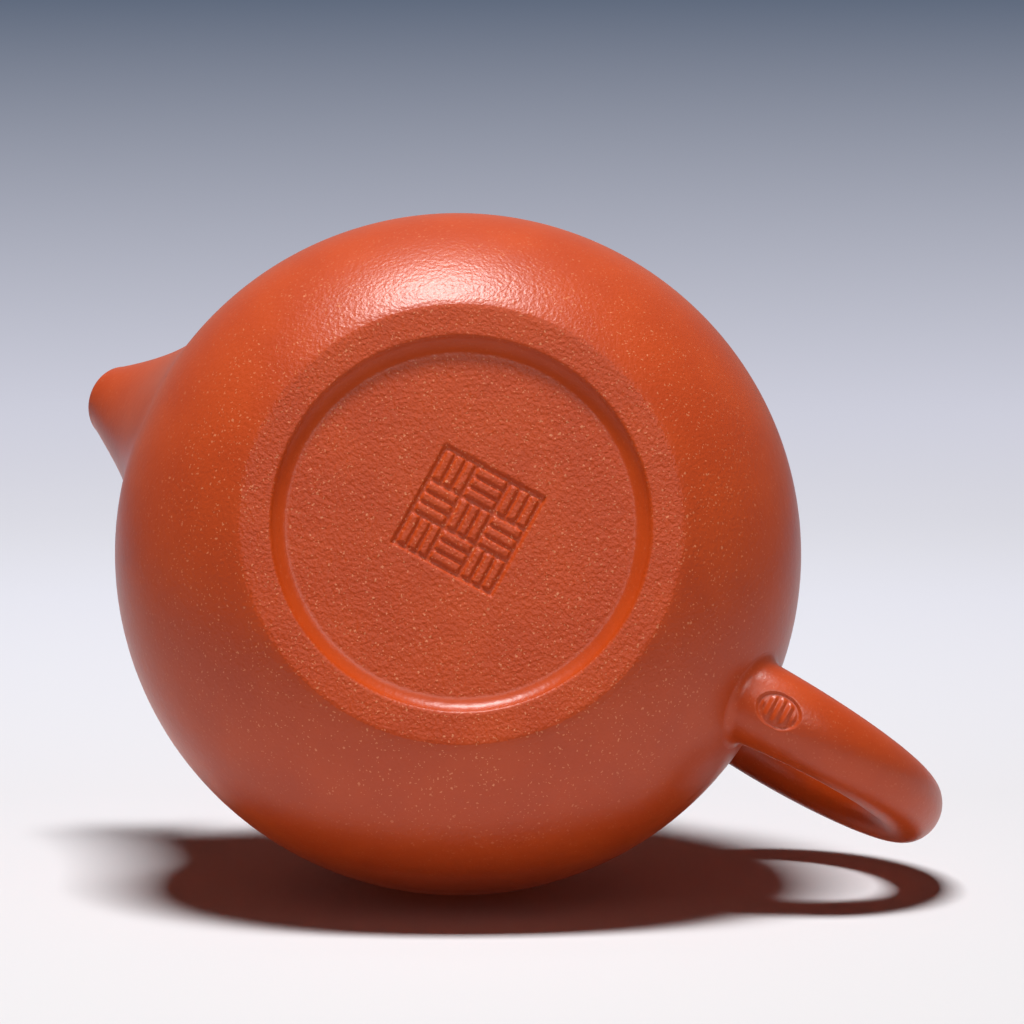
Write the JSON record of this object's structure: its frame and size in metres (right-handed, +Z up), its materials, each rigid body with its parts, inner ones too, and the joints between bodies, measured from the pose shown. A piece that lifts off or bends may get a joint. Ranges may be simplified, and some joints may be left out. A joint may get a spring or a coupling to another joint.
{
  "type": "clay teapot",
  "caption": "Small round unglazed clay teapot with a stub spout, ear handle, flat foot ring and a domed lid that lifts off.",
  "frame": {"origin": "centre of the foot ring, on the plane that the pot stands on", "axes": "+Z up through the lid's knob, +Y towards the handle, -Y towards the spout"},
  "size_m": [0.084, 0.1202, 0.0713],
  "materials": {
    "clay": "unglazed, burnished satin"
  },
  "bodies": {
    "pot": {"body_wall": "clay", "base_disc": "clay", "shoulder_disc": "clay", "mouth_ring": "clay", "spout": "clay", "ball_strainer": "clay", "handle": "clay"},
    "lid": {"lid_disc": "clay", "lid_flange": "clay", "knob": "clay"}
  },
  "joints": [
    {"name": "lid_lift", "type": "slide", "parent": "pot", "child": "lid", "axis": [0, 0, 1], "range_m": [0, 0.06]}
  ]
}
